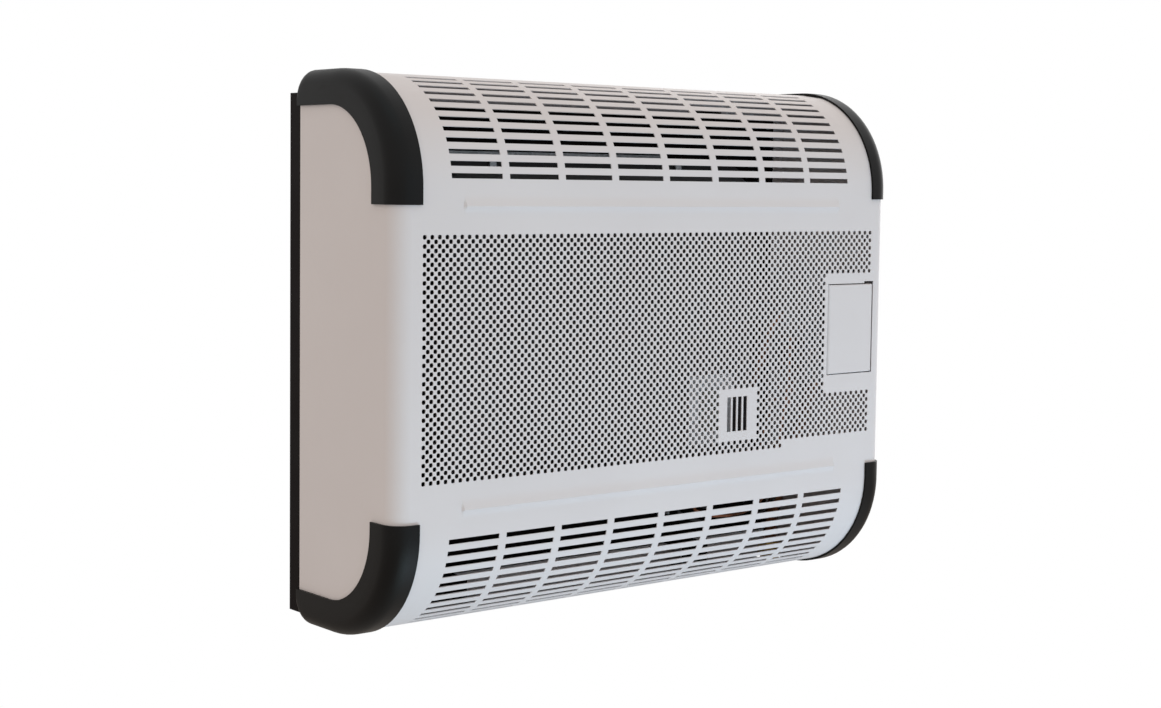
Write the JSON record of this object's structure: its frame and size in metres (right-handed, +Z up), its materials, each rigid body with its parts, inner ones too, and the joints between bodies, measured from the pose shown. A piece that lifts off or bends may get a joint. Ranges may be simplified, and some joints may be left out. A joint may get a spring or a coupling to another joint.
{
  "type": "wall mounted gas heater",
  "caption": "Balanced-flue gas wall heater: sheet casing with vented, curled top and bottom, perforated front, corner trims and a hinged control door; sealed burner chamber inside.",
  "frame": {"origin": "on the wall plane, at the middle of the casing's width and height", "axes": "+Z up, +Y into the wall, +X to the right of someone facing the heater"},
  "size_m": [0.589, 0.169, 0.482],
  "materials": {
    "white_enamel": "fine satin powder coat on steel sheet, cool white",
    "black_plastic": "moulded, finely grained, matte black",
    "black_paint": "satin black paint on steel sheet",
    "dark_enamel": "heat resistant dark enamel on pressed steel",
    "zinc_steel": "zinc plated sheet and fasteners",
    "flue_steel": "aluminised steel",
    "cast_aluminium": "as cast, lightly sand textured",
    "brass": "machined brass",
    "copper": "drawn copper tube, slightly dulled",
    "fibre_gasket": "pressed ceramic fibre",
    "ceramic": "glazed ceramic insulator with a metal tip",
    "glass": "flat heat resistant glass",
    "silicone_lead": "silicone sheathed high voltage lead",
    "red_plastic": "moulded button"
  },
  "bodies": {
    "heater": {"front_casing": "white_enamel", "corner_trim_upper_left": "black_plastic", "corner_trim_upper_right": "black_plastic", "corner_trim_lower_left": "black_plastic", "corner_trim_lower_right": "black_plastic", "door_hinge_bracket": "zinc_steel", "door_hinge_pin_upper": "zinc_steel", "door_hinge_pin_lower": "zinc_steel", "door_magnet": "black_plastic", "wall_frame": "black_paint", "casing_screw_left": "zinc_steel", "casing_screw_right": "zinc_steel", "chamber_rear_shell": "dark_enamel", "chamber_front_shell": "dark_enamel", "chamber_gasket": "fibre_gasket", "chamber_screw_1": "zinc_steel", "chamber_screw_2": "zinc_steel", "chamber_screw_3": "zinc_steel", "chamber_screw_4": "zinc_steel", "chamber_screw_5": "zinc_steel", "chamber_screw_6": "zinc_steel", "chamber_bracket_left": "zinc_steel", "chamber_bracket_right": "zinc_steel", "exhaust_tube": "flue_steel", "exhaust_baffle": "flue_steel", "air_box": "zinc_steel", "air_collar": "zinc_steel", "heat_shield": "zinc_steel", "main_burner": "flue_steel", "burner_support_left": "zinc_steel", "burner_support_right": "zinc_steel", "burner_injector": "brass", "pilot_plate": "zinc_steel", "pilot_burner": "brass", "ignition_electrode": "ceramic", "thermocouple": "copper", "sight_glass": "glass", "sight_glass_rim": "zinc_steel", "control_panel": "zinc_steel", "gas_valve": "cast_aluminium", "valve_bracket": "zinc_steel", "igniter_body": "black_plastic", "gas_inlet_pipe": "copper", "gas_inlet_union": "brass", "burner_supply_pipe": "copper", "pilot_pipe": "copper", "ignition_lead": "silicone_lead", "thermostat_bulb": "copper", "bulb_clip_left": "zinc_steel", "bulb_clip_right": "zinc_steel", "thermostat_capillary": "copper"},
    "door": {"control_door": "white_enamel"},
    "stem": {"control_stem": "brass"},
    "knob": {"control_knob": "black_plastic"},
    "button": {"igniter_button": "red_plastic"}
  },
  "joints": [
    {"name": "door_swing", "type": "hinge", "parent": "heater", "child": "door", "pos_m": [0.2148, -0.163, 0.00775], "axis": [0, 0, -1], "range_deg": [0, 95]},
    {"name": "stem_push", "type": "slide", "parent": "heater", "child": "stem", "axis": [0, 1, 0], "range_m": [0, 0.004], "stiffness_N_per_m": 500, "springref_m": -0.004},
    {"name": "knob_turn", "type": "hinge", "parent": "stem", "child": "knob", "pos_m": [0.231, -0.155, 0.026], "axis": [0, -1, 0], "range_deg": [0, 270]},
    {"name": "button_press", "type": "slide", "parent": "heater", "child": "button", "axis": [0, 1, 0], "range_m": [0, 0.005], "stiffness_N_per_m": 600, "springref_m": -0.004}
  ]
}
